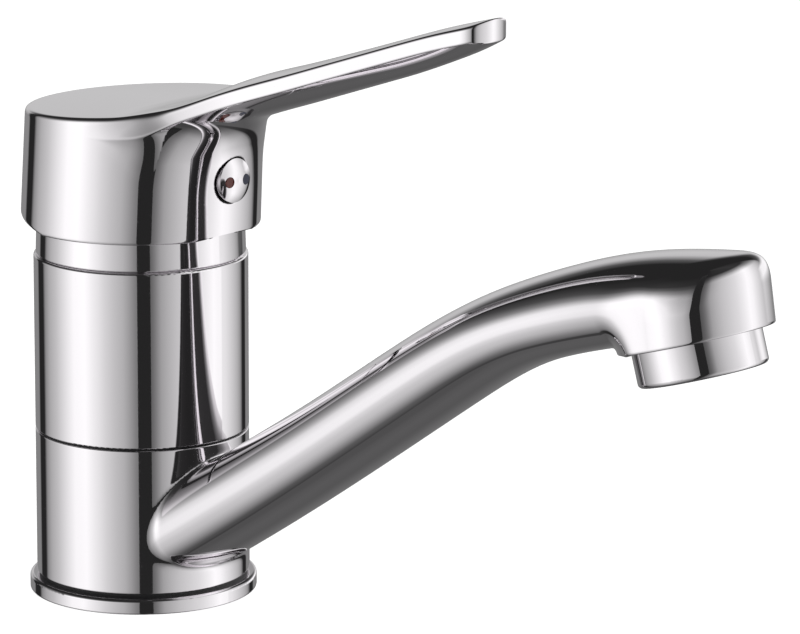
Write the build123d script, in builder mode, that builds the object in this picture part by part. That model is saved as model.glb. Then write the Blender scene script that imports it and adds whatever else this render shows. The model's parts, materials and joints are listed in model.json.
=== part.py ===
from build123d import *
import math
import os

os.makedirs("parts", exist_ok=True)

# Basin mixer tap, millimetres. Z is up, the deck is the plane z = 0 and the tap's vertical
# axis is x = y = 0. The spout and the lever point along +X with the water shut off.

# --- stack heights -----------------------------------------------------------------------
BASE_RING_TOP = 3.45
SLEEVE_BOTTOM, SLEEVE_TOP = 4.25, 37.09
SHOULDER = 37.49            # underside of the fixed upper body
BODY_TOP = 77.3
CAP_BOTTOM = 84.1
CAP_TOP_AT_AXIS, CAP_TOP_SLOPE = 111.8, 0.068

# --- radii -------------------------------------------------------------------------------
BODY_R = 24.0
BASE_RING_R = 25.6
STEM_R = 19.0
SLEEVE_BORE_R = 20.25
SLIP_R = 20.20              # bearing collars, 0.05 clear of the sleeve's bore
CHAMBER_R, CHAMBER_STEM_R = 21.6, 16.5
CHAMBER_Z0, CHAMBER_Z1 = 14.0, 26.0
CARTRIDGE_BORE_R, CARTRIDGE_FLOOR = 20.2, 46.0
NUT_THREAD_R, NUT_THREAD_Z = 21.0, 69.6
FOOT_Z = 0.0                # the body's foot stands on the deck, level with the base ring

# --- connections under the deck ----------------------------------------------------------
INLET_X, INLET_Y = 4.5, 7.0
INLET_THREAD_R, INLET_THREAD_TOP = 4.46, 14.0     # M10 x 1, minor radius
INLET_R = 2.8
STUD_X, STUD_R, STUD_TOP = -9.5, 3.32, 12.6       # M8, minor radius
OUTLET_X, OUTLET_R, OUTLET_Z = -6.5, 3.4, 20.0

# --- cartridge ---------------------------------------------------------------------------
PIVOT_Z = 76.0
PIN_R = 1.5
LIFT_DEG, TURN_DEG = 24.0, 48.0
BALL_Z = 63.2
DISC_X = -0.5               # centre of the moving disc, shut off
SHANK = 7.9                 # square of the spindle's shank
SOCKET_TOP = 101.0

# --- cap and lever -----------------------------------------------------------------------
CAP_R0, CAP_LEAN, CAP_TAPER = 26.8, math.tan(math.radians(3.3)), math.tan(math.radians(0.58))
CAVITY_R0, CAVITY_TOP = 24.9, 106.0
RELIEF_X, RELIEF_DEG = -5.5, 9.8
SCREW_Z = 97.0
DOT_R, DOT_Y = 1.2, 2.6
LEVER_END = 101.5
LEVER = [                   # x, half width, height of the top edge, depth below it, crown
    (12.0, 16.0, 112.0, 7.3, 0.3),
    (20.0, 17.4, 112.9, 7.3, 1.0),
    (30.0, 15.0, 116.45, 7.3, 1.9),
    (40.0, 12.6, 120.4, 7.3, 1.8),
    (60.0, 10.2, 127.35, 7.4, 1.2),
    (80.0, 8.4, 134.25, 7.1, 0.85),
    (92.0, 7.2, 138.15, 6.6, 0.7),
    (103.0, 6.2, 140.6, 4.4, 0.7),
]
LEVER_BAND = 3.4

# --- spout -------------------------------------------------------------------------------
SPOUT = [                   # x, z, rise in degrees, half height of the section
    (14.0, 15.25, 32.0, 10.35),
    (40.0, 31.7, 32.6, 10.15),
    (66.0, 48.8, 33.4, 9.5),
    (90.0, 65.1, 32.0, 9.4),
    (110.0, 76.3, 26.6, 9.0),
    (128.0, 83.6, 17.6, 9.1),
    (150.0, 88.95, 9.8, 9.0),
    (180.0, 92.7, 7.0, 9.0),
]
SPOUT_HALF_W = 16.0
OVAL = 2.3                  # exponent of the oval section
WATERWAY_R = 6.0
OUTLET_TILT = 16.05         # the outlet leans out by this much
HEAD_TILT = 9.0             # and the head's wall by this much
HEAD_C = (154.6, 0.0, 80.6)      # centre of the head's underside
HEAD_R, HEAD_SHIFT = 16.65, 0.1
AERATOR_R, AERATOR_H = 13.8, 7.66
AERATOR_THREAD_R = 12.0     # M24 x 1


def oval(half_w, half_h, count=24):
    pts = []
    for i in range(count):
        t = 2 * math.pi * i / count
        c, s = math.cos(t), math.sin(t)
        pts.append((
            half_w * math.copysign(abs(c) ** (2 / OVAL), c),
            half_h * math.copysign(abs(s) ** (2 / OVAL), s),
        ))
    return pts


def spout_plane(x, z, rise):
    """Section plane of the spout: local x across the tap, local y up."""
    r = math.radians(rise)
    return Plane(origin=(x, 0, z), x_dir=(0, 1, 0), z_dir=(math.cos(r), 0, math.sin(r)))


def profile(points):
    """Closed outline in the sketch. A point's third value is the radius of its corner."""
    corners = []
    for i, point in enumerate(points):
        p, a, b = Vector(*point[:2]), Vector(*points[i - 1][:2]), Vector(*points[(i + 1) % len(points)][:2])
        if len(point) > 2:
            u, v = (a - p).normalized(), (b - p).normalized()
            half = math.acos(u.dot(v)) / 2
            middle = (u + v).normalized()
            reach = point[2] / math.tan(half)
            corners.append((p + u * reach, p + middle * (point[2] / math.sin(half) - point[2]), p + v * reach))
        else:
            corners.append((p, None, p))
    for i, (first, middle, last) in enumerate(corners):
        if middle is not None:
            ThreePointArc(first, middle, last)
        Line(last, corners[(i + 1) % len(corners)][0])


def write(part, name):
    part.label = name
    export_step(part, "parts/" + name + ".step")


# =========================================================================================
# Fixed body: the upper barrel that holds the cartridge, and the stem the spout turns on.
with BuildPart() as valve_body:
    with BuildSketch(Plane.XZ):
        with BuildLine():
            profile([
                (0, FOOT_Z), (STEM_R - 0.6, FOOT_Z), (STEM_R, FOOT_Z + 0.6),
                (STEM_R, 9.3), (18.1, 9.3), (18.1, 11.9), (STEM_R, 11.9),
                (STEM_R, CHAMBER_Z0), (CHAMBER_STEM_R, CHAMBER_Z0),
                (CHAMBER_STEM_R, CHAMBER_Z1), (STEM_R, CHAMBER_Z1),
                (STEM_R, 28.6), (18.1, 28.6), (18.1, 31.2), (STEM_R, 31.2),
                (STEM_R, SHOULDER), (BODY_R, SHOULDER, 0.28),
                (BODY_R, BODY_TOP, 0.6), (NUT_THREAD_R, BODY_TOP),
                (NUT_THREAD_R, NUT_THREAD_Z), (CARTRIDGE_BORE_R, NUT_THREAD_Z),
                (CARTRIDGE_BORE_R, CARTRIDGE_FLOOR), (0, CARTRIDGE_FLOOR),
            ])
        make_face()
    revolve(axis=Axis.Z)
    for side in (1, -1):
        with Locations((INLET_X, side * INLET_Y, (FOOT_Z + INLET_THREAD_TOP) / 2)):
            Cylinder(INLET_THREAD_R, INLET_THREAD_TOP - FOOT_Z, mode=Mode.SUBTRACT)
        with Locations((INLET_X, side * INLET_Y, (INLET_THREAD_TOP + CARTRIDGE_FLOOR) / 2)):
            Cylinder(INLET_R, CARTRIDGE_FLOOR - INLET_THREAD_TOP + 1, mode=Mode.SUBTRACT)
        # blind holes that the cartridge's pegs drop into
        with Locations((0, side * 15.5, CARTRIDGE_FLOOR - 0.9)):
            Cylinder(1.6, 1.8, mode=Mode.SUBTRACT)
    with Locations((STUD_X, 0, (FOOT_Z + STUD_TOP) / 2)):
        Cylinder(STUD_R, STUD_TOP - FOOT_Z, mode=Mode.SUBTRACT)
    with Locations((OUTLET_X, 0, (16.0 + CARTRIDGE_FLOOR) / 2)):
        Cylinder(OUTLET_R, CARTRIDGE_FLOOR - 16.0, mode=Mode.SUBTRACT)
    with Locations((OUTLET_X - 6, 0, OUTLET_Z)):
        Cylinder(OUTLET_R, 12, rotation=(0, 90, 0), mode=Mode.SUBTRACT)
write(valve_body.part, "valve_body")

# Base ring: screwed to the stem from below, it carries the spout sleeve.
with BuildPart() as base_ring:
    with BuildSketch(Plane.XZ):
        with BuildLine():
            profile([
                (STEM_R, FOOT_Z + 0.6), (STEM_R, BASE_RING_TOP), (BASE_RING_R, BASE_RING_TOP, 0.8),
                (BASE_RING_R, 0, 0.4), (23.5, 0), (23.5, 1.5), (20.5, 1.5), (20.5, 0), (19.6, 0),
            ])
        make_face()
    revolve(axis=Axis.Z)
write(base_ring.part, "base_ring")

with BuildPart() as base_gasket:
    with BuildSketch():
        Circle(23.45)
        Circle(20.55, mode=Mode.SUBTRACT)
    extrude(amount=1.5)
write(base_gasket.part, "base_gasket")

# Slip rings: L-shaped plastic bearings above and below the sleeve.
with BuildPart() as lower_slip_ring:
    with BuildSketch(Plane.XZ):
        with BuildLine():
            Polyline(
                (STEM_R, BASE_RING_TOP), (23.5, BASE_RING_TOP), (23.5, SLEEVE_BOTTOM - 0.02),
                (SLIP_R, SLEEVE_BOTTOM - 0.02), (SLIP_R, 8.6), (STEM_R, 8.6), (STEM_R, BASE_RING_TOP),
            )
        make_face()
    revolve(axis=Axis.Z)
write(lower_slip_ring.part, "lower_slip_ring")

with BuildPart() as upper_slip_ring:
    with BuildSketch(Plane.XZ):
        with BuildLine():
            Polyline(
                (STEM_R, SHOULDER), (23.4, SHOULDER), (23.4, SLEEVE_TOP + 0.02),
                (SLIP_R, SLEEVE_TOP + 0.02), (SLIP_R, 32.6), (STEM_R, 32.6), (STEM_R, SHOULDER),
            )
        make_face()
    revolve(axis=Axis.Z)
write(upper_slip_ring.part, "upper_slip_ring")

for ring_name, ring_z in (("lower_spout_o_ring", 10.6), ("upper_spout_o_ring", 29.9)):
    with BuildPart() as o_ring:
        with BuildSketch(Plane.XZ):
            with Locations((19.15, ring_z)):
                Circle(1.05)
        revolve(axis=Axis.Z)
    write(o_ring.part, ring_name)

# =========================================================================================
# Swivel spout: the sleeve that turns on the stem, and the arm with its outlet head and
# waterway, brazed to the sleeve.
TILT = math.radians(OUTLET_TILT)
WALL = math.radians(HEAD_TILT)
up_outlet = (-math.sin(TILT), 0.0, math.cos(TILT))       # from the outlet back into the head
up_wall = (-math.sin(WALL), 0.0, math.cos(WALL))
head_plane = Plane(origin=HEAD_C, x_dir=(math.cos(TILT), 0, math.sin(TILT)), z_dir=up_outlet)

with BuildPart() as head_wall:
    with BuildSketch(head_plane):
        with Locations((HEAD_SHIFT, 0)):
            Circle(HEAD_R)
    extrude(amount=30, dir=up_wall)

with BuildPart() as front_trim:
    with Locations((186.0, 0, 92.0)):
        Box(66.0, 50, 60)
    add(head_wall.part, mode=Mode.SUBTRACT)

with BuildPart() as head_skirt:
    with BuildSketch(head_plane):
        with Locations((HEAD_SHIFT, 0)):
            Circle(HEAD_R)
    extrude(amount=9.0, dir=up_wall)
    chamfer(head_skirt.faces().sort_by(Axis.Z)[0].edges(), 0.5)

with BuildPart() as waterway:
    with BuildLine():
        way = Spline(
            (18.0, 0, 18.6), (40.0, 0, 31.6), (66.0, 0, 48.4), (90.0, 0, 64.6), (110.0, 0, 75.8),
            (128.0, 0, 83.0), (142.0, 0, 87.0),
        )
    with BuildSketch(Plane(origin=way @ 0, x_dir=(0, 1, 0), z_dir=way % 0)):
        Circle(WATERWAY_R)
    sweep()

with BuildPart() as spout_sleeve:
    with Locations((0, 0, (SLEEVE_BOTTOM + SLEEVE_TOP) / 2)):
        Cylinder(BODY_R, SLEEVE_TOP - SLEEVE_BOTTOM)
    # bore, and the ring chamber that feeds the spout at any angle
    with BuildSketch(Plane.XZ):
        with BuildLine():
            Polyline(
                (0, -5), (SLEEVE_BORE_R, -5), (SLEEVE_BORE_R, CHAMBER_Z0), (CHAMBER_R, CHAMBER_Z0 + 1.2),
                (CHAMBER_R, CHAMBER_Z1 - 1.2), (SLEEVE_BORE_R, CHAMBER_Z1), (SLEEVE_BORE_R, 45),
                (0, 45), (0, -5),
            )
        make_face()
    revolve(axis=Axis.Z, mode=Mode.SUBTRACT)
    add(waterway.part, mode=Mode.SUBTRACT)
write(spout_sleeve.part, "spout_sleeve")

with BuildPart() as spout_arm:
    for x, z, rise, half_h in SPOUT:
        with BuildSketch(spout_plane(x, z, rise)):
            with BuildLine():
                Spline(oval(SPOUT_HALF_W + (0.6 if x > 140 else 0.0), half_h), periodic=True)
            make_face()
    loft()
    add(front_trim.part, mode=Mode.SUBTRACT)
    with BuildSketch(head_plane):
        with Locations((9.0, 0)):
            Rectangle(34, 44)
    extrude(amount=-8.0, mode=Mode.SUBTRACT)
    add(head_skirt.part)
    with Locations((0, 0, 25)):
        Cylinder(BODY_R, 70, mode=Mode.SUBTRACT)
    add(waterway.part, mode=Mode.SUBTRACT)
    # outlet cavity with its female thread, opening into the waterway
    with BuildSketch(head_plane):
        Circle(AERATOR_THREAD_R)
    extrude(amount=7.5, mode=Mode.SUBTRACT)
    with BuildSketch(head_plane.offset(7.0)):
        Circle(10.0)
    with BuildSketch(head_plane.offset(11.5)):
        Circle(7.0)
    loft(mode=Mode.SUBTRACT)
write(spout_arm.part, "spout_arm")

# Aerator: chromed housing, rubber washer, plastic insert and outlet grille.
with BuildPart() as aerator_housing:
    with BuildSketch(head_plane.offset(-AERATOR_H)):
        Circle(AERATOR_R)
    extrude(amount=AERATOR_H - 0.05)
    fillet(aerator_housing.faces().sort_by(Axis((0, 0, 0), up_outlet))[0].edges(), 1.0)
    with BuildSketch(head_plane.offset(-0.05)):
        Circle(AERATOR_THREAD_R - 0.02)
    extrude(amount=5.5)
    with BuildSketch(head_plane.offset(-AERATOR_H)):
        Circle(10.2)
    extrude(amount=20, mode=Mode.SUBTRACT)
write(aerator_housing.part, "aerator_housing")

with BuildPart() as aerator_washer:
    with BuildSketch(head_plane.offset(5.5)):
        Circle(11.8)
        Circle(8.6, mode=Mode.SUBTRACT)
    extrude(amount=1.9)
write(aerator_washer.part, "aerator_washer")

with BuildPart() as aerator_insert:
    with BuildSketch(head_plane.offset(-AERATOR_H + 2.2)):
        Circle(10.15)
        Circle(8.6, mode=Mode.SUBTRACT)
    extrude(amount=AERATOR_H + 3.2)
    with BuildSketch(head_plane.offset(2.4)):
        Circle(8.7)
        with PolarLocations(5.6, 10):
            Circle(1.0, mode=Mode.SUBTRACT)
        with PolarLocations(2.6, 5):
            Circle(0.9, mode=Mode.SUBTRACT)
    extrude(amount=1.6)
write(aerator_insert.part, "aerator_insert")

with BuildPart() as aerator_grille:
    with BuildSketch(head_plane.offset(-AERATOR_H + 0.9)):
        Circle(10.15)
        with GridLocations(2.3, 2.3, 9, 9):
            Rectangle(1.75, 1.75, mode=Mode.SUBTRACT)
    extrude(amount=1.3)
    with BuildSketch(head_plane.offset(-AERATOR_H + 0.9)):
        Circle(10.15)
        Circle(8.9, mode=Mode.SUBTRACT)
    extrude(amount=1.3)
write(aerator_grille.part, "aerator_grille")

# =========================================================================================
# Cartridge.
with BuildPart() as cartridge_base:
    with Locations((0, 0, 47.0)):
        Cylinder(20.0, 2.0)
    with Locations((0, 0, 49.5)):
        Cylinder(18.1, 3.0)
    for side in (1, -1):
        with Locations((0, side * 15.5, CARTRIDGE_FLOOR - 0.7)):
            Cylinder(1.5, 1.4)
        with Locations((INLET_X, side * INLET_Y, 48.5)):
            Cylinder(INLET_R, 6, mode=Mode.SUBTRACT)
        with Locations((INLET_X, side * INLET_Y, 46.7)):
            Cylinder(5.2, 1.4, mode=Mode.SUBTRACT)
    with Locations((OUTLET_X, 0, 48.5)):
        Cylinder(OUTLET_R, 6, mode=Mode.SUBTRACT)
    with Locations((OUTLET_X, 0, 46.7)):
        Cylinder(5.4, 1.4, mode=Mode.SUBTRACT)
write(cartridge_base.part, "cartridge_base")

with BuildPart() as cartridge_port_seals:
    with BuildSketch(Plane.XY.offset(CARTRIDGE_FLOOR)):
        with Locations((INLET_X, INLET_Y), (INLET_X, -INLET_Y)):
            Circle(5.15)
        with Locations((OUTLET_X, 0)):
            Circle(5.35)
        with Locations((INLET_X, INLET_Y), (INLET_X, -INLET_Y)):
            Circle(3.4, mode=Mode.SUBTRACT)
        with Locations((OUTLET_X, 0)):
            Circle(3.8, mode=Mode.SUBTRACT)
    extrude(amount=1.38)
write(cartridge_port_seals.part, "cartridge_port_seals")

with BuildPart() as cartridge_housing:
    with BuildSketch(Plane.XZ):
        with BuildLine():
            Polyline(
                (18.12, 48.0), (20.0, 48.0), (20.0, 70.0), (15.5, 70.0), (15.5, 84.4), (13.0, 84.4),
                (13.0, 68.6), (18.0, 68.6), (18.0, 54.5), (16.0, 54.5), (16.0, 51.0), (18.12, 51.0),
                (18.12, 48.0),
            )
        make_face()
    revolve(axis=Axis.Z)
    # the front of the rim is cut away: its ends stop the turret's lug
    with BuildSketch(Plane.XY.offset(82.0)):
        with BuildLine():
            stop = math.radians(TURN_DEG + 13.0)
            Line((0, 0), (20 * math.cos(stop), 20 * math.sin(stop)))
            ThreePointArc((20 * math.cos(stop), 20 * math.sin(stop)), (20, 0), (20 * math.cos(stop), -20 * math.sin(stop)))
            Line((20 * math.cos(stop), -20 * math.sin(stop)), (0, 0))
        make_face()
    extrude(amount=4, mode=Mode.SUBTRACT)
write(cartridge_housing.part, "cartridge_housing")

with BuildPart() as fixed_disc:
    with BuildSketch(Plane.XY.offset(51.0)):
        Circle(15.9)
        with Locations((INLET_X, INLET_Y), (INLET_X, -INLET_Y)):
            Circle(INLET_R, mode=Mode.SUBTRACT)
        with Locations((OUTLET_X, 0)):
            Circle(OUTLET_R, mode=Mode.SUBTRACT)
    extrude(amount=3.9)
write(fixed_disc.part, "fixed_disc")

# Shut off, the moving disc covers the inlets. Pushed forward it joins them to the outlet.
with BuildPart() as moving_disc:
    with BuildSketch(Plane.XY.offset(54.92)):
        with Locations((DISC_X, 0)):
            Circle(12.3)
    extrude(amount=3.6)
    with BuildSketch(Plane.XY.offset(54.92)):
        with Locations((-5.2, 0)):
            Ellipse(6.3, 9.3)
    extrude(amount=1.9, mode=Mode.SUBTRACT)
write(moving_disc.part, "moving_disc")

with BuildPart() as disc_carrier:
    with BuildSketch(Plane.XY.offset(58.52)):
        with Locations((DISC_X, 0)):
            Circle(12.5)
    extrude(amount=5.7)
    # pocket for the spindle's ball, slightly long for the ball's arc
    with BuildSketch(Plane.XY.offset(59.3)):
        SlotCenterToCenter(0.7, 8.2)
    extrude(amount=6, mode=Mode.SUBTRACT)
write(disc_carrier.part, "disc_carrier")

with BuildPart() as cartridge_turret:
    with Locations((0, 0, (64.6 + 83.9) / 2)):
        Cylinder(12.94, 83.9 - 64.6)
    with Locations((0, 0, (64.6 + 68.4) / 2)):
        Cylinder(16.6, 68.4 - 64.6)
    # stop lug at the front
    with Locations((13.0, 0, (82.1 + 83.9) / 2)):
        Box(4.6, 5.6, 83.9 - 82.1)
    # slot in which the spindle tilts
    with BuildSketch(Plane.XZ.offset(-4.4)):
        with BuildLine():
            Polyline((-4.6, 60), (12.5, 60), (5.3, 76), (5.3, 90), (-10.6, 90), (-5.4, 76), (-4.6, 60))
        make_face()
    extrude(amount=8.8, mode=Mode.SUBTRACT)
    with Locations((0, 0, PIVOT_Z)):
        Cylinder(PIN_R, 30, rotation=(90, 0, 0), mode=Mode.SUBTRACT)
write(cartridge_turret.part, "cartridge_turret")

with BuildPart() as pivot_pin:
    with Locations((0, 0, PIVOT_Z)):
        Cylinder(PIN_R, 25.2, rotation=(90, 0, 0))
write(pivot_pin.part, "pivot_pin")

with BuildPart() as cartridge_spindle:
    with Locations((0, 0, PIVOT_Z)):
        Cylinder(4.2, 8.6, rotation=(90, 0, 0))
    with Locations((0, 0, (PIVOT_Z + 100.5) / 2)):
        Box(SHANK, SHANK, 100.5 - PIVOT_Z)
    with Locations((0, 0, (BALL_Z + PIVOT_Z) / 2)):
        Cylinder(3.2, PIVOT_Z - BALL_Z)
    with Locations((0, 0, BALL_Z)):
        Sphere(4.0)
    with Locations((0, 0, BALL_Z - 4.0)):
        Box(10, 10, 1.6, mode=Mode.SUBTRACT)
    with Locations((0, 0, PIVOT_Z)):
        Cylinder(PIN_R + 0.03, 30, rotation=(90, 0, 0), mode=Mode.SUBTRACT)
    chamfer(cartridge_spindle.faces().sort_by(Axis.Z)[-1].edges(), 0.6)
write(cartridge_spindle.part, "cartridge_spindle")

with BuildPart() as retaining_nut:
    with Locations((0, 0, (70.0 + BODY_TOP) / 2)):
        Cylinder(NUT_THREAD_R - 0.03, BODY_TOP - 70.0)
    with BuildSketch(Plane.XY.offset(BODY_TOP)):
        RegularPolygon(20.8, 6)
    extrude(amount=4.7)
    with Locations((0, 0, 78)):
        Cylinder(15.8, 20, mode=Mode.SUBTRACT)
write(retaining_nut.part, "retaining_nut")

# Cover ring: the chromed collar seen between the body and the cap.
with BuildPart() as cover_ring:
    with BuildSketch(Plane.XZ):
        with BuildLine():
            profile([
                (21.2, BODY_TOP), (23.5, BODY_TOP, 0.45), (23.2, 88.1, 3.0), (17.2, 88.1), (17.2, 86.8),
                (20.0, 85.8), (21.2, 84.2),
            ])
        make_face()
    revolve(axis=Axis.Z)
write(cover_ring.part, "cover_ring")

# =========================================================================================
# Lever handle: hollow cap and blade in one casting.
with BuildPart() as blade:
    for x, half_w, top, depth, crown in LEVER:
        with BuildSketch(Plane(origin=(x, 0, 0), x_dir=(0, 1, 0), z_dir=(1, 0, 0))):
            with BuildLine():
                ThreePointArc((-half_w, top), (0, top + crown), (half_w, top))
                Line((half_w, top), (half_w, top - LEVER_BAND))
                ThreePointArc((half_w, top - LEVER_BAND), (0, top - depth), (-half_w, top - LEVER_BAND))
                Line((-half_w, top - LEVER_BAND), (-half_w, top))
            make_face()
    loft()
    # rounded end in plan
    with BuildSketch(Plane.XY.offset(95)):
        with BuildLine():
            Polyline((LEVER_END - 3.5, 7.3), (LEVER_END - 3.5, 25), (0, 25), (0, -25), (LEVER_END - 3.5, -25), (LEVER_END - 3.5, -7.3))
            ThreePointArc((LEVER_END - 3.5, -7.3), (LEVER_END, 0), (LEVER_END - 3.5, 7.3))
        make_face()
    extrude(amount=60, mode=Mode.INTERSECT)


def cap_circle(z, radius0):
    return ((z - CAP_BOTTOM) * CAP_LEAN, radius0 - (z - CAP_BOTTOM) * CAP_TAPER)


with BuildPart() as lever_handle:
    for z in (CAP_BOTTOM, 120.0):
        cx, r = cap_circle(z, CAP_R0)
        with BuildSketch(Plane.XY.offset(z)):
            with Locations((cx, 0)):
                Circle(r)
    loft()
    # sloping top, rising towards the lever
    with BuildSketch(Plane.XZ.offset(-40)):
        with BuildLine():
            Polyline(
                (-40, CAP_TOP_AT_AXIS - 40 * CAP_TOP_SLOPE), (40, CAP_TOP_AT_AXIS + 40 * CAP_TOP_SLOPE),
                (40, 140), (-40, 140), (-40, CAP_TOP_AT_AXIS - 40 * CAP_TOP_SLOPE),
            )
        make_face()
    extrude(amount=80, mode=Mode.SUBTRACT)
    fillet(lever_handle.faces().sort_by(Axis.Z)[-1].edges(), 1.0)
    add(blade.part)
    # relief at the back so that the cap clears the body when the lever is raised
    with BuildSketch(Plane.XZ.offset(-40)):
        with BuildLine():
            Polyline(
                (RELIEF_X, CAP_BOTTOM), (RELIEF_X, 70), (-40, 70),
                (-40, CAP_BOTTOM + (40 + RELIEF_X) * math.tan(math.radians(RELIEF_DEG))), (RELIEF_X, CAP_BOTTOM),
            )
        make_face()
    extrude(amount=80, mode=Mode.SUBTRACT)
    # cavity
    for z in (CAP_BOTTOM - 4, CAVITY_TOP):
        cx, r = cap_circle(z, CAVITY_R0)
        with BuildSketch(Plane.XY.offset(z)):
            with Locations((cx, 0)):
                Circle(r)
    loft(mode=Mode.SUBTRACT)
    # boss with the square socket for the spindle
    with Locations((0, 0, (92.0 + CAVITY_TOP + 0.5) / 2)):
        Cylinder(9.0, CAVITY_TOP + 0.5 - 92.0)
    with Locations((0, 0, (91.0 + SOCKET_TOP) / 2)):
        Box(SHANK + 0.1, SHANK + 0.1, SOCKET_TOP - 91.0, mode=Mode.SUBTRACT)
    # tapped hole for the grub screw, and the access hole through the cap's front
    with Locations((9.0, 0, SCREW_Z)):
        Cylinder(2.5, 12.0, rotation=(0, 90, 0), mode=Mode.SUBTRACT)
    with Locations((26.0, 0, SCREW_Z)):
        Cylinder(3.5, 8.0, rotation=(0, 90, 0), mode=Mode.SUBTRACT)
    with Locations((29.4, 0, SCREW_Z)):
        Cylinder(5.15, 5.2, rotation=(0, 90, 0), mode=Mode.SUBTRACT)
write(lever_handle.part, "lever_handle")

with BuildPart() as handle_grub_screw:
    with Locations((6.47, 0, SCREW_Z)):
        Cylinder(2.48, 5.0, rotation=(0, 90, 0))
    with BuildSketch(Plane(origin=(8.97, 0, SCREW_Z), x_dir=(0, 1, 0), z_dir=(1, 0, 0))):
        RegularPolygon(1.44, 6)
    extrude(amount=-2.6, mode=Mode.SUBTRACT)
write(handle_grub_screw.part, "handle_grub_screw")

with BuildPart() as indicator_plug:
    with BuildSketch(Plane.XZ):
        with BuildLine():
            Polyline(
                (29.2, SCREW_Z), (23.4, SCREW_Z), (23.4, SCREW_Z + 3.45), (26.84, SCREW_Z + 3.45),
                (26.84, SCREW_Z + 4.95), (28.2, SCREW_Z + 4.95),
            )
            ThreePointArc((28.2, SCREW_Z + 4.95), (28.85, SCREW_Z + 3.3), (29.2, SCREW_Z))
        make_face()
    revolve(axis=Axis((0, 0, SCREW_Z), (1, 0, 0)))
    with Locations((28.9, DOT_Y, SCREW_Z), (28.9, -DOT_Y, SCREW_Z)):
        Cylinder(DOT_R + 0.03, 1.4, rotation=(0, 90, 0), mode=Mode.SUBTRACT)
write(indicator_plug.part, "indicator_plug")

for dot_name, dot_y in (("hot_indicator_dot", -DOT_Y), ("cold_indicator_dot", DOT_Y)):
    with BuildPart() as dot:
        with Locations((28.6, dot_y, SCREW_Z)):
            Cylinder(DOT_R, 0.78, rotation=(0, 90, 0))
    write(dot.part, dot_name)
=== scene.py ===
import bpy
import json
import math
import numpy as np
from mathutils import Matrix, Vector


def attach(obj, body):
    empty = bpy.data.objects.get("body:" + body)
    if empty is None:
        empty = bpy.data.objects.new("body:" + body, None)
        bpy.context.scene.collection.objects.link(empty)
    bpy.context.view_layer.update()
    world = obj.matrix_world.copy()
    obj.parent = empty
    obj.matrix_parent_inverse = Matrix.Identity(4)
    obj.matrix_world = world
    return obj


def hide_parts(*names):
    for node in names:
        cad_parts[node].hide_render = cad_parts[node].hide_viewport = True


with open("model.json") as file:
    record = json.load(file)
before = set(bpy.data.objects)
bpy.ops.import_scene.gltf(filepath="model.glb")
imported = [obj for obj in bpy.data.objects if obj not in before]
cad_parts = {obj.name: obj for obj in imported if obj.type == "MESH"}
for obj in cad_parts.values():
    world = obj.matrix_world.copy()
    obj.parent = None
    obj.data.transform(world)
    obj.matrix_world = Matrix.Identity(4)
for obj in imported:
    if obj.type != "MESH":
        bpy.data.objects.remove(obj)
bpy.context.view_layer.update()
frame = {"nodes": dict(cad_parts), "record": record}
scene = bpy.context.scene
MM = 0.001

# =============================================================================================
# Camera: fitted to the rims of the base ring, the seams and the barrel's sides
# =============================================================================================
cam_data = bpy.data.cameras.new("camera")
cam_data.sensor_fit = "HORIZONTAL"
cam_data.sensor_width = 36.0
cam_data.lens = 5498.85 * 36.0 / 800.0
cam_data.clip_start, cam_data.clip_end = 0.05, 60.0
cam_data.shift_x, cam_data.shift_y = -0.5 / 800.0, 0.5 / 800.0
cam = bpy.data.objects.new("camera", cam_data)
scene.collection.objects.link(cam)
right = Vector((0.768701, 0.639604, 0.002287)).normalized()
fwd = Vector((-0.622636, 0.749117, -0.226160)).normalized()
up = right.cross(fwd).normalized()
cam.matrix_world = Matrix((
    (right.x, up.x, -fwd.x, 0.811519),
    (right.y, up.y, -fwd.y, -0.885618),
    (right.z, up.z, -fwd.z, 0.340614),
    (0, 0, 0, 1),
))
scene.camera = cam


# =============================================================================================
# Shape helpers. All shapes are made in millimetres and turned into metres at the end.
# =============================================================================================
def smooth_min(a, b, k):
    h = np.maximum(k - np.abs(a - b), 0.0) / k
    return np.minimum(a, b) - h * h * h * k / 6.0


def smooth_max(a, b, k):
    return -smooth_min(-a, -b, k)


def step(e0, e1, x):
    t = np.clip((x - e0) / (e1 - e0), 0.0, 1.0)
    return t * t * (3.0 - 2.0 * t)


class Curve:
    """Natural cubic spline through the points, straight beyond its ends."""

    def __init__(self, xs, ys):
        x, y = np.array(xs, float), np.array(ys, float)
        n = len(x)
        h = np.diff(x)
        a = np.zeros((n, n))
        b = np.zeros(n)
        a[0, 0] = a[-1, -1] = 1.0
        for i in range(1, n - 1):
            a[i, i - 1], a[i, i], a[i, i + 1] = h[i - 1], 2 * (h[i - 1] + h[i]), h[i]
            b[i] = 6 * ((y[i + 1] - y[i]) / h[i] - (y[i] - y[i - 1]) / h[i - 1])
        self.x, self.y, self.m, self.h = x, y, np.linalg.solve(a, b), h

    def __call__(self, q, order=0):
        q = np.asarray(q, float)
        x, y, m, h = self.x, self.y, self.m, self.h
        inside = np.clip(q, x[0], x[-1])
        i = np.clip(np.searchsorted(x, inside) - 1, 0, len(h) - 1)
        hi = h[i]
        u, v = x[i + 1] - inside, inside - x[i]
        slope = (
            -m[i] * u * u / (2 * hi) + m[i + 1] * v * v / (2 * hi)
            + (y[i + 1] - y[i]) / hi - (m[i + 1] - m[i]) * hi / 6
        )
        if order == 2:
            return np.where(inside == q, (m[i] * u + m[i + 1] * v) / hi, 0.0)
        if order == 1:
            return slope
        value = (
            m[i] * u ** 3 / (6 * hi) + m[i + 1] * v ** 3 / (6 * hi)
            + (y[i] / hi - m[i] * hi / 6) * u + (y[i + 1] / hi - m[i + 1] * hi / 6) * v
        )
        return value + slope * (q - inside)


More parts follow.
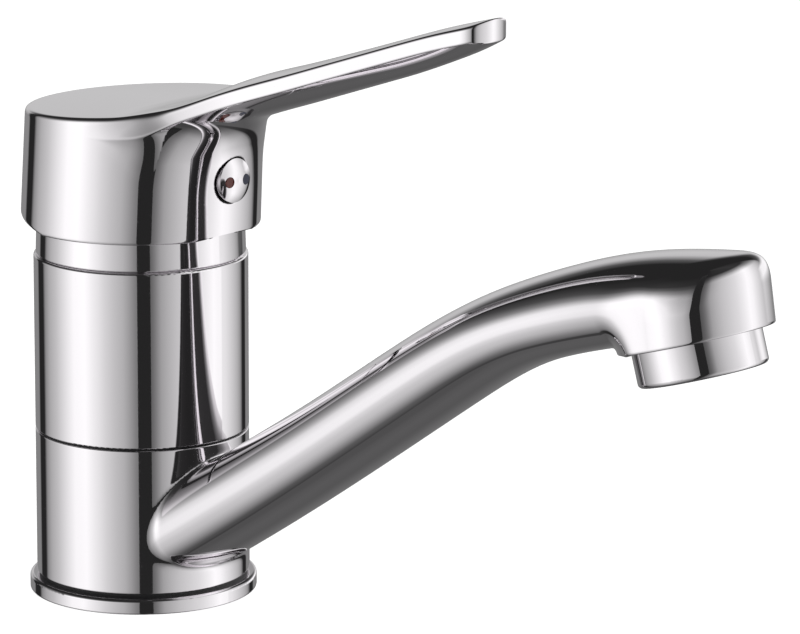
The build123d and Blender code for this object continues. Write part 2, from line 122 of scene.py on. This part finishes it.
def gradient(fn, p, e=0.01):
    g = np.empty_like(p)
    for k in range(3):
        d = np.zeros(3)
        d[k] = e
        q0, q1 = p - d, p + d
        g[:, k] = (fn(*q1.T) - fn(*q0.T)) / (2 * e)
    return g


def lines(*spans):
    """Grid lines from spans of (from, to, spacing)."""
    out = []
    for a, b, d in spans:
        n = max(1, int(round((b - a) / d)))
        out += [a + (b - a) * i / n for i in range(n)]
    return np.array(out + [spans[-1][1]], float)


def iso_mesh(fn, gx, gv, gs, widen, lift):
    """Closed quad mesh of fn = 0 on the grid (x, y = v * widen(x), z = s + lift(x)).

    Each vertex is moved onto the surface and carries its exact normal."""
    n = np.array([len(gx), len(gv), len(gs)])
    wide, high = widen(gx), lift(gx)
    f = np.empty(n, np.float32)
    for i in range(0, n[0], 24):
        e = slice(i, i + 24)
        f[e] = fn(gx[e, None, None], gv[None, :, None] * wide[e, None, None], gs[None, None, :] + high[e, None, None])
    s = f < 0
    count = np.zeros(n - 1, np.int8)
    for a in (0, 1):
        for b in (0, 1):
            for c in (0, 1):
                count += s[a:n[0] - 1 + a, b:n[1] - 1 + b, c:n[2] - 1 + c]
    cells = np.argwhere((count > 0) & (count < 8))
    index = np.full(n - 1, -1, np.int64)
    index[cells[:, 0], cells[:, 1], cells[:, 2]] = np.arange(len(cells))
    pos, hits = np.zeros((len(cells), 3)), np.zeros(len(cells))
    corners = [(a, b, c) for a in (0, 1) for b in (0, 1) for c in (0, 1)]
    for a in corners:
        for k in range(3):
            if a[k]:
                continue
            b = list(a)
            b[k] = 1
            fa = f[cells[:, 0] + a[0], cells[:, 1] + a[1], cells[:, 2] + a[2]].astype(float)
            fb = f[cells[:, 0] + b[0], cells[:, 1] + b[1], cells[:, 2] + b[2]].astype(float)
            m = (fa < 0) != (fb < 0)
            t = fa[m] / (fa[m] - fb[m])
            p = np.tile(np.array(a, float), (m.sum(), 1))
            p[:, k] += t
            pos[m] += p
            hits[m] += 1
    q = cells + pos / hits[:, None]
    x, v, w = (np.interp(q[:, k], np.arange(n[k]), g) for k, g in enumerate((gx, gv, gs)))
    p = np.stack([x, v * widen(x), w + lift(x)], 1)
    for _ in range(7):
        d, g = fn(*p.T), gradient(fn, p)
        move = -(d / np.maximum((g * g).sum(1), 0.05))[:, None] * g
        size = np.linalg.norm(move, axis=1, keepdims=True)
        p = p + move * np.minimum(1.0, 0.16 / np.maximum(size, 1e-9))
    faces = []
    for k in range(3):
        k1, k2 = (k + 1) % 3, (k + 2) % 3
        lo = [slice(None)] * 3
        hi = [slice(None)] * 3
        lo[k], hi[k] = slice(0, -1), slice(1, None)
        for ax in (k1, k2):
            lo[ax] = hi[ax] = slice(1, -1)
        s0, s1 = s[tuple(lo)], s[tuple(hi)]
        for inside_first in (True, False):
            e = np.argwhere((s0 != s1) & (s0 == inside_first))
            if not len(e):
                continue
            base = e.copy()
            base[:, k1] += 1
            base[:, k2] += 1
            quad = []
            for d1, d2 in ((1, 1), (0, 1), (0, 0), (1, 0)):
                c = base.copy()
                c[:, k1] -= d1
                c[:, k2] -= d2
                quad.append(index[c[:, 0], c[:, 1], c[:, 2]])
            quad = np.stack(quad, 1)
            faces.append(quad if inside_first else quad[:, ::-1])
    faces = np.concatenate(faces)
    g = gradient(fn, p)
    normals = g / np.maximum(np.linalg.norm(g, axis=1, keepdims=True), 1e-9)
    return p, faces, normals


def add_mesh(name, p, faces, normals=None, loop_normals=None):
    """Adds a mesh given in millimetres."""
    me = bpy.data.meshes.new(name)
    me.from_pydata((np.asarray(p) * MM).tolist(), [], [list(map(int, f)) for f in faces])
    me.polygons.foreach_set("use_smooth", [True] * len(me.polygons))
    me.update()
    if normals is not None:
        me.normals_split_custom_set_from_vertices(np.asarray(normals).tolist())
    if loop_normals is not None:
        me.normals_split_custom_set(np.asarray(loop_normals).tolist())
    ob = bpy.data.objects.new(name, me)
    scene.collection.objects.link(ob)
    return ob


# =============================================================================================
# Spout: sleeve, arm and outlet head in one casting
# =============================================================================================
arm_z = Curve([0, 30, 60, 85, 105, 125, 145, 180], [6.7, 25.3, 44.8, 61.95, 74.4, 82.7, 88.15, 91.9])
arm_b = Curve([0, 30, 60, 90, 115, 138, 155, 180], [10.3, 10.2, 9.65, 9.35, 9.0, 9.4, 9.1, 9.0])
arm_a = Curve([0, 40, 90, 120, 135, 150, 180], [16.2, 16.1, 16.0, 16.05, 16.4, 17.2, 17.4])
ARM_M = 2.25
TILT, WALL = math.radians(16.05), math.radians(9.0)
HEAD = np.array([154.6, 0.0, 80.6])
HEAD_X = np.array([math.cos(TILT), 0.0, math.sin(TILT)])
HEAD_UP = np.array([-math.sin(TILT), 0.0, math.cos(TILT)])
WALL_UP = np.array([-math.sin(WALL), 0.0, math.cos(WALL)])
HEAD_R, HEAD_SHIFT = 16.65, 0.1
SLEEVE_R, SLEEVE_Z0, SLEEVE_Z1 = 24.0, 4.25, 37.09


def arm_frame(x, z):
    """Station along the arm's centreline and height above it, in its own plane."""
    t = np.array(x + 0.0 * z, float)
    for _ in range(6):
        c, d1, d2 = arm_z(t), arm_z(t, 1), arm_z(t, 2)
        f = (x - t) + (z - c) * d1
        g = -1.0 - d1 * d1 + (z - c) * d2
        g = np.where(np.abs(g) < 0.3, -0.3, g)
        t = t - np.clip(f / g, -8, 8)
    c, d1 = arm_z(t), arm_z(t, 1)
    return t, ((z - c) - (x - t) * d1) / np.sqrt(1 + d1 * d1)


def oval(y, n, a, b, m):
    u, v = np.abs(y) / a + 1e-6, np.abs(n) / b + 1e-6
    s = u ** m + v ** m
    g = s ** (1 / m)
    slope = s ** (1 / m - 1) * np.sqrt((u ** (m - 1) / a) ** 2 + (v ** (m - 1) / b) ** 2)
    return (g - 1.0) / slope


def head_coords(x, y, z):
    """Height above the head's underside, and distance outside its leaning wall."""
    h = (x - HEAD[0]) * HEAD_UP[0] + (z - HEAD[2]) * HEAD_UP[2]
    lam = h / float(WALL_UP @ HEAD_UP)
    px, pz = x - lam * WALL_UP[0] - HEAD[0], z - lam * WALL_UP[2] - HEAD[2]
    lx = px * HEAD_X[0] + pz * HEAD_X[2] - HEAD_SHIFT
    return h, lx


def spout_shape(x, y, z):
    t, n = arm_frame(x, z)
    # below its widest line the flank straightens into the head's wall
    low = np.where(n < 0, n * (1 - step(140, 152, t)), n)
    arm = oval(y, low, arm_a(t), arm_b(t), ARM_M)
    h, lx = head_coords(x, y, z)
    back = np.maximum(-lx, 0.0)
    wall_front = np.where(lx > 0, np.sqrt(lx * lx + y * y) - HEAD_R, np.abs(y) - HEAD_R - 0.02 * back * back)
    wall_round = np.sqrt(lx * lx + y * y) - HEAD_R
    arm = smooth_max(arm, wall_front, 3.3 + 3.6 * step(-2.0, 10.0, lx) * step(-3.0, 2.0, n))
    arm = smooth_max(arm, np.where(lx > -12, -h, -h - 0.05 * (lx + 12) ** 2), 0.8)
    skirt = smooth_max(smooth_max(wall_round + 0.45 * step(-10.0, -3.0, lx), n + 0.5, 3.0), -h, 0.9)
    body = smooth_min(arm, skirt, 0.3 + 3.6 * step(-3.0, -12.0, lx) * step(1.0, -4.0, n))
    r = np.sqrt(x * x + y * y)
    sleeve = smooth_max(r - SLEEVE_R, np.maximum(z - SLEEVE_Z1, SLEEVE_Z0 - z), 0.5)
    body = np.where(x > 60, body, smooth_min(np.maximum(body, -x), sleeve, 1.8))
    # bore for the stem, and the socket for the aerator
    bore = np.maximum(r - 20.25, z - 60)
    body = np.where(x > 60, body, smooth_max(body, -bore, 0.4))
    socket_r = np.sqrt((lx + HEAD_SHIFT) ** 2 + y * y) - 12.0
    socket = np.maximum(socket_r, h - 7.5)
    return np.where(x < 100, body, np.maximum(body, -socket))


# =============================================================================================
# Lever handle: cap and blade in one casting
# =============================================================================================
CAP_Z0, CAP_R0 = 84.1, 26.8
LEAN, TAPER = math.tan(math.radians(3.3)), math.tan(math.radians(0.58))
edge_z = Curve(
    [-30, 0, 10, 15, 19, 23, 27, 33, 40, 50, 60, 70, 80, 90, 100],
    [109.81, 111.85, 112.53, 112.95, 113.5, 114.4, 115.75, 118.1, 120.7, 124.05, 127.45, 130.85, 134.25, 137.5, 140.25],
)
half_w = Curve(
    [-5, 0, 5, 8, 12, 16, 20, 25, 30, 40, 50, 60, 70, 80, 90, 101],
    [25.5, 25.5, 25.2, 24.6, 23.2, 21.3, 19.0, 16.7, 15.0, 12.6, 11.2, 10.2, 9.3, 8.4, 7.4, 6.2],
)
crown_z = Curve([8, 14, 20, 28, 40, 50, 60, 70, 85, 101], [0, 0.25, 0.9, 1.75, 1.95, 1.6, 1.3, 1.1, 0.95, 0.9])
TIP_X, TIP_R, BAND = 101.5, 9.3, 3.4


def handle_shape(x, y, z):
    cx = (z - CAP_Z0) * LEAN
    rr = np.sqrt((x - cx) ** 2 + y * y)
    cap_r = CAP_R0 - (z - CAP_Z0) * TAPER
    cap = rr - cap_r
    e = edge_z(x)
    w = half_w(x)
    v = np.clip(np.abs(y) / w, 0, 1)
    crown = crown_z(np.maximum(x, 8.0)) * step(7, 12, x)
    tilt = np.cos(np.arctan(edge_z(x, 1)))
    top = (z - e - crown * (1 - v * v) + 0.0005 * (1 - step(12, 20, x)) * y * y) * tilt
    # blade: flat sides and a broad rounded end, a level band all round and a bowed underside
    ahead = x - TIP_X + TIP_R
    end = np.sqrt(np.maximum(ahead, 0) ** 2 + y * y) - TIP_R + 3.0 * np.minimum(ahead, 0)
    plan = smooth_max(np.abs(y) - w, end, 2.4 * step(80, 92, x) + 0.1)
    deep = (3.9 + 2.2 * step(38, 22, x)) * np.clip(1 - (np.clip(x - 76, 0, None) / (TIP_X + 1.0 - 76)) ** 2, 0.0, 1) ** 0.6
    bow = np.clip(np.abs(y) / (w - 0.6), 0, 1)
    under = (e - BAND - deep * (1 - bow * bow) - z) * tilt * 0.9
    blade = smooth_max(smooth_max(plan, under, 0.5), -x + 5, 1.0)
    k = 0.9 + 12.0 * step(-2.0, 12.0, e - z) * step(4, 22, x)
    body = smooth_min(cap, blade, k)
    body = smooth_max(body, top, 1.65 - 0.75 * step(20, 36, x))
    foot = CAP_Z0 + np.tan(math.radians(9.8)) * np.maximum(-5.5 - x, 0.0)
    body = smooth_max(body, foot - z, 0.9)
    # cavity, with the boss that takes the spindle
    hollow = np.maximum(rr - (24.9 - (z - CAP_Z0) * TAPER), z - 106.0)
    boss = np.maximum(np.sqrt(x * x + y * y) - 9.0, 92.0 - z)
    hollow = smooth_max(hollow, -boss, 1.0)
    body = smooth_max(body, -hollow, 0.5)
    # seat of the plug
    seat = np.maximum(np.sqrt(y * y + (z - 97.0) ** 2) - 5.3, 26.1 - x)
    return smooth_max(body, -seat, 0.35)


slope_x = np.linspace(-40.0, 190.0, 2301)
slope = np.interp(slope_x, [-40, 26, 38, 104, 126, 190], [0, 0, 0.63, 0.63, math.tan(TILT), math.tan(TILT)])
slope_z = np.concatenate([[0.0], np.cumsum((slope[1:] + slope[:-1]) / 2 * np.diff(slope_x))])


def spout_lift(x):
    return np.interp(x, slope_x, slope_z)


def handle_wide(x):
    return half_w(np.maximum(x, 0.0)) / 25.5


C = 1.0
rim = float(HEAD[2] - spout_lift(HEAD[0]))     # the head's underside is level on this grid
p, f, nrm = iso_mesh(
    spout_shape,
    lines((-25.2, 176.0, 0.56 * C)), lines((-25.3, 25.3, 0.56 * C)),
    lines((3.6, 4.2, 0.3 * C), (4.2, 5.0, 0.1 * C), (5.0, rim - 0.9, 0.56 * C), (rim - 0.9, rim + 1.1, 0.2 * C),
          (rim + 1.1, 36.5, 0.56 * C), (36.5, 37.3, 0.1 * C), (37.3, 48.0, 0.56 * C)),
    lambda x: np.ones_like(x), spout_lift,
)
spout = add_mesh("spout_casting", p, f, nrm)
print("spout", len(p), len(f))
p, f, nrm = iso_mesh(
    handle_shape,
    lines((-28.5, 23.5, 0.55 * C), (23.5, 30.0, 0.3 * C), (30.0, 96.0, 0.8 * C), (96.0, 102.8, 0.35 * C)),
    lines((-29.0, -26.4, 0.4 * C), (-26.4, -24.6, 0.15 * C), (-24.6, -9.0, 0.5 * C), (-9.0, 9.0, 0.36 * C),
          (9.0, 24.6, 0.5 * C), (24.6, 26.4, 0.15 * C), (26.4, 29.0, 0.4 * C)),
    lines((-30.8, -13.0, 0.3 * C), (-13.0, -8.5, 0.42 * C), (-8.5, -4.6, 0.3 * C), (-4.6, -2.9, 0.12 * C), (-2.9, -1.0, 0.3 * C),
          (-1.0, 2.9, 0.16 * C)),
    handle_wide, edge_z,
)
handle = add_mesh("handle_casting", p, f, nrm)
handle_p, handle_f = p, f
print("handle", len(p), len(f))
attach(spout, "spout")
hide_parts("spout_sleeve", "spout_arm")
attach(handle, "handle")
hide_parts("lever_handle")


# =============================================================================================
# Materials
# =============================================================================================
def new_material(name):
    m = bpy.data.materials.new(name)
    m.use_nodes = True
    nt = m.node_tree
    nt.nodes.clear()
    out = nt.nodes.new("ShaderNodeOutputMaterial")
    bsdf = nt.nodes.new("ShaderNodeBsdfPrincipled")
    nt.links.new(bsdf.outputs[0], out.inputs[0])
    return m, nt, bsdf


def node(nt, kind, **values):
    n = nt.nodes.new(kind)
    for k, v in values.items():
        if hasattr(n, k):
            setattr(n, k, v)
        else:
            n.inputs[k].default_value = v
    return n


def chrome(name, base=(0.93, 0.905, 0.93), rough=0.03):
    """Plated finish: polish haze, faint polishing lines and a few hair scratches."""
    m, nt, b = new_material(name)
    b.inputs["Base Color"].default_value = (*base, 1)
    b.inputs["Metallic"].default_value = 1.0
    co = nt.nodes.new("ShaderNodeTexCoord")
    haze = node(nt, "ShaderNodeTexNoise", Scale=70.0, Detail=3.0)
    nt.links.new(co.outputs["Object"], haze.inputs["Vector"])
    turn = node(nt, "ShaderNodeMapping")
    turn.inputs["Rotation"].default_value = (0.5, 0.3, 0.9)
    turn.inputs["Scale"].default_value = (40.0, 1400.0, 900.0)
    nt.links.new(co.outputs["Object"], turn.inputs["Vector"])
    hair = node(nt, "ShaderNodeTexNoise", Scale=1.0, Detail=2.0)
    nt.links.new(turn.outputs["Vector"], hair.inputs["Vector"])
    scratch = nt.nodes.new("ShaderNodeMapRange")
    scratch.inputs["From Min"].default_value, scratch.inputs["From Max"].default_value = 0.66, 0.74
    nt.links.new(hair.outputs["Fac"], scratch.inputs["Value"])
    ramp = nt.nodes.new("ShaderNodeMapRange")
    ramp.inputs["From Min"].default_value, ramp.inputs["From Max"].default_value = 0.3, 0.7
    ramp.inputs["To Min"].default_value, ramp.inputs["To Max"].default_value = rough * 0.6, rough * 1.7
    nt.links.new(haze.outputs["Fac"], ramp.inputs["Value"])
    both = node(nt, "ShaderNodeMath", operation="MULTIPLY_ADD")
    both.inputs[1].default_value = 0.05
    nt.links.new(scratch.outputs["Result"], both.inputs[0])
    nt.links.new(ramp.outputs["Result"], both.inputs[2])
    nt.links.new(both.outputs[0], b.inputs["Roughness"])
    bump = node(nt, "ShaderNodeBump", Strength=0.05, Distance=0.00002)
    nt.links.new(hair.outputs["Fac"], bump.inputs["Height"])
    nt.links.new(bump.outputs["Normal"], b.inputs["Normal"])
    return m


def plain(name, colour, rough, scale=900.0, bump=0.05, metallic=0.0, vary=0.12):
    m, nt, b = new_material(name)
    co = nt.nodes.new("ShaderNodeTexCoord")
    grain = node(nt, "ShaderNodeTexNoise", Scale=scale, Detail=4.0)
    nt.links.new(co.outputs["Object"], grain.inputs["Vector"])
    ramp = nt.nodes.new("ShaderNodeValToRGB")
    ramp.color_ramp.elements[0].position, ramp.color_ramp.elements[1].position = 0.3, 0.7
    ramp.color_ramp.elements[0].color = (*[c * (1 - vary) for c in colour], 1)
    ramp.color_ramp.elements[1].color = (*[min(1, c * (1 + vary)) for c in colour], 1)
    nt.links.new(grain.outputs["Fac"], ramp.inputs["Fac"])
    nt.links.new(ramp.outputs["Color"], b.inputs["Base Color"])
    bm = node(nt, "ShaderNodeBump", Strength=bump, Distance=0.0002)
    nt.links.new(grain.outputs["Fac"], bm.inputs["Height"])
    nt.links.new(bm.outputs["Normal"], b.inputs["Normal"])
    b.inputs["Roughness"].default_value = rough
    b.inputs["Metallic"].default_value = metallic
    return m


mats = {
    "chromed_brass": chrome("chromed_brass"),
    "chromed_zinc": chrome("chromed_zinc"),
    "black_rubber": plain("black_rubber", (0.025, 0.025, 0.025), 0.65, bump=0.2),
    "dark_bearing_plastic": plain("dark_bearing_plastic", (0.03, 0.03, 0.032), 0.5),
    "grey_plastic": plain("grey_plastic", (0.42, 0.43, 0.45), 0.45),
    "pale_plastic": plain("pale_plastic", (0.82, 0.82, 0.8), 0.42),
    "white_ceramic": plain("white_ceramic", (0.9, 0.89, 0.87), 0.2),
    "bare_brass": plain("bare_brass", (0.78, 0.6, 0.3), 0.28, metallic=1.0),
    "steel": plain("steel", (0.58, 0.58, 0.58), 0.3, metallic=1.0),
    "red_enamel": plain("red_enamel", (0.16, 0.02, 0.012), 0.25, scale=2500.0, bump=0.02),
    "blue_enamel": plain("blue_enamel", (0.012, 0.018, 0.06), 0.25, scale=2500.0, bump=0.02),
}
slot_of = {s["node"]: s["material_slot"] for s in frame["record"]["subparts"]}
for name, ob in frame["nodes"].items():
    ob.data.materials.clear()
    ob.data.materials.append(mats[slot_of[name]])
spout.data.materials.append(mats["chromed_brass"])
handle.data.materials.append(mats["chromed_zinc"])
# the plug's seat gets a near-black dull material: painted shade standing in for the shadow in the recess around the
# plug
handle.data.materials.append(plain("seat_painted_shade", (0.05, 0.048, 0.05), 0.6, scale=1500.0, bump=0.2))
middle = handle_p[handle_f].mean(1)
# faces inside the plug's seat, which carry the painted shade
seat_shade_faces = (np.hypot(middle[:, 1], middle[:, 2] - 97.0) < 5.33) & (middle[:, 0] > 24.0)
handle.data.polygons.foreach_set("material_index", seat_shade_faces.astype(np.int32))

# =============================================================================================
# Studio
# =============================================================================================
world = bpy.data.worlds.new("studio")
scene.world = world
world.use_nodes = True
wt = world.node_tree
wt.nodes.clear()


def wmath(op, *args):
    n = wt.nodes.new("ShaderNodeMath")
    n.operation = op
    for i, a in enumerate(args):
        if isinstance(a, (int, float)):
            n.inputs[i].default_value = a
        else:
            wt.links.new(a, n.inputs[i])
    return n.outputs[0]


def falloff(angle, stops):
    """Brightness of a lit panel against an angle in degrees, straight between its stops."""
    peak = max(v for _, v in stops)
    m = wt.nodes.new("ShaderNodeMapRange")
    m.inputs["From Min"].default_value, m.inputs["From Max"].default_value = stops[0][0], stops[-1][0]
    wt.links.new(angle, m.inputs["Value"])
    r = wt.nodes.new("ShaderNodeValToRGB")
    ramp = r.color_ramp
    ramp.interpolation = "LINEAR"
    while len(ramp.elements) > 1:
        ramp.elements.remove(ramp.elements[-1])
    for i, (a, v) in enumerate(stops):
        t = (a - stops[0][0]) / (stops[-1][0] - stops[0][0])
        e = ramp.elements[0] if i == 0 else ramp.elements.new(t)
        e.position = t
        e.color = (v / peak, v / peak, v / peak, 1)
    wt.links.new(m.outputs["Result"], r.inputs["Fac"])
    return wmath("MULTIPLY", r.outputs["Color"], peak)


# Azimuth in degrees from the camera's side, positive towards the spout, and elevation.
coord = wt.nodes.new("ShaderNodeTexCoord")
sep = wt.nodes.new("ShaderNodeSeparateXYZ")
CAM_AZ = -47.5
rot = wt.nodes.new("ShaderNodeVectorRotate")
rot.rotation_type = "Z_AXIS"
rot.inputs["Angle"].default_value = math.radians(-CAM_AZ)
wt.links.new(coord.outputs["Generated"], rot.inputs["Vector"])
wt.links.new(rot.outputs[0], sep.inputs[0])
az = wmath("DEGREES", wmath("ARCTAN2", sep.outputs[1], sep.outputs[0]))
el = wmath("DEGREES", wmath("ARCSINE", sep.outputs[2]))


around = wmath("MODULO", wmath("ADD", az, 360.0), 360.0)


def panel(side, height, wrap=False):
    return wmath("MULTIPLY", falloff(around if wrap else az, side), falloff(el, height))


# Softbox at the left of the camera, lit from its middle, over a pale bench
left_softbox = panel(
    [(-131, 0), (-126, .26), (-117, .43), (-105, .57), (-95, .75), (-85, .94), (-78, 1.07), (-64, 1.12), (-58, 1.03),
     (-54, .96), (-47, .85), (-40, .72), (-30, .58), (-20, .47), (-14, .36), (-10, .28), (-7, .22), (-4, .18), (1, .09),
     (6, 0)],
    [(-90, .04), (-78, .05), (-65, .23), (-55, .37), (-45, .49), (-35, .56), (-25, .68), (-18, .9), (-10, 1.0),
     (0, 1.0), (5, .8), (15, .34), (25, .10), (35, .02), (60, .0)],
)
# Softbox at its right, towards the spout
right_softbox = panel(
    [(0, 0), (4, .06), (9, .10), (12, .14), (15, .20), (21, .35), (28, .44), (38, .55), (50, .65), (62, .75), (75, .92), (84, 1.05),
     (92, .99), (102, .81), (112, .65), (125, .45), (132, .30), (138, 0)],
    [(-75, .02), (-60, .3), (-45, .75), (-30, 1.0), (25, 1.0), (38, .35), (50, .02)],
)
# Pale backdrop behind the tap, brightest along its middle
backdrop = wmath("MAXIMUM", panel(
    [(100, 0), (110, .5), (124, .95), (150, 1.0), (160, .8), (172, .5), (182, 0)],
    [(-12, 0), (-6, .6), (-2, 1.0), (7, 1.0), (11, .6), (15, .2), (20, .06), (30, 0)], wrap=True,
), panel(
    [(160, 0), (172, .56), (195, .52), (210, .42), (217, 0)],
    [(-12, 0), (-5, .74), (0, .86), (5, 1.0), (11, .95), (15, .6), (20, .15), (26, 0)], wrap=True,
))
sweep = panel(
    [(147, 0), (150, 1.0), (213, 1.0), (217, 0)],
    [(-75, .03), (-60, .06), (-45, .07), (-30, .12), (-13, .22), (-8, .24), (-3, 0)], wrap=True,
)
bench = falloff(el, [(-90, .03), (-70, .035), (-55, .02), (-40, 0)])
total = wmath("MAXIMUM", wmath("MAXIMUM", left_softbox, right_softbox), wmath("MAXIMUM", backdrop, sweep))
total = wmath("ADD", wmath("ADD", total, bench), 0.019)
bg = wt.nodes.new("ShaderNodeBackground")
wo = wt.nodes.new("ShaderNodeOutputWorld")
wt.links.new(total, bg.inputs["Color"])
bg.inputs["Strength"].default_value = 1.0
wt.links.new(bg.outputs[0], wo.inputs[0])

# Floor and backdrop: one swept sheet, plain and pale
prof = [(0.0, 0.0), (0.2, 0.0), (1.0, 0.0), (3.0, 0.0), (6.0, 0.0)]
prof += [(6.0 + 2.0 * math.sin(t), 2.0 - 2.0 * math.cos(t)) for t in np.linspace(0.1, math.pi / 2, 12)]
prof += [(8.0, 6.0)]
SEG = 96
verts, faces = [], []
for r, z in prof:
    for i in range(SEG):
        a = 2 * math.pi * i / SEG
        verts.append((r * math.cos(a), r * math.sin(a), z))
for j in range(len(prof) - 1):
    for i in range(SEG):
        k = (i + 1) % SEG
        faces.append((j * SEG + i, j * SEG + k, (j + 1) * SEG + k, (j + 1) * SEG + i))
me = bpy.data.meshes.new("studio_floor")
me.from_pydata(verts, [], faces)
me.polygons.foreach_set("use_smooth", [True] * len(me.polygons))
floor = bpy.data.objects.new("studio_floor", me)
scene.collection.objects.link(floor)
fm, fnt, fb = new_material("studio_floor")
fb.inputs["Base Color"].default_value = (0.9, 0.9, 0.9, 1)
fb.inputs["Roughness"].default_value = 1.0
fb.inputs["Specular IOR Level"].default_value = 0.0
fb.inputs["Emission Color"].default_value = (1, 1, 1, 1)
fb.inputs["Emission Strength"].default_value = 0.80
me.materials.append(fm)
# Black card behind the camera: only mirror reflections show it
card_at, card_w, card_h = math.radians(-45.0), 0.160, 2.5
cx, cy, tx, ty = 1.3 * math.cos(card_at), 1.3 * math.sin(card_at), -math.sin(card_at), math.cos(card_at)
me = bpy.data.meshes.new("black_card")
me.from_pydata([(cx + a * card_w * tx, cy + a * card_w * ty, b * card_h) for a, b in ((-1, -1), (1, -1), (1, 1), (-1, 1))], [], [(0, 1, 2, 3)])
cloth = plain("black_cloth", (0.012, 0.012, 0.012), 0.95, scale=400.0, bump=0.1)
cloth_bsdf = next(n for n in cloth.node_tree.nodes if n.type == "BSDF_PRINCIPLED")
cloth_bsdf.inputs["Emission Color"].default_value = (1, 1, 1, 1)
cloth_bsdf.inputs["Emission Strength"].default_value = 0.012
me.materials.append(cloth)
card = bpy.data.objects.new("black_card", me)
scene.collection.objects.link(card)
card.visible_camera = card.visible_diffuse = card.visible_shadow = card.visible_transmission = False
floor.visible_glossy = False
floor.visible_diffuse = False
floor.visible_shadow = False

key_data = bpy.data.lights.new("overhead_softbox", "AREA")
key_data.shape = "DISK"
key_data.size = 2.4
key_data.energy = 22.0
key = bpy.data.objects.new("overhead_softbox", key_data)
key.location = (0.0, 0.0, 2.6)
key.visible_glossy = False
scene.collection.objects.link(key)

scene.view_settings.view_transform = "Standard"
scene.view_settings.look = "None"
scene.view_settings.exposure = 0.0
scene.view_settings.gamma = 1.0
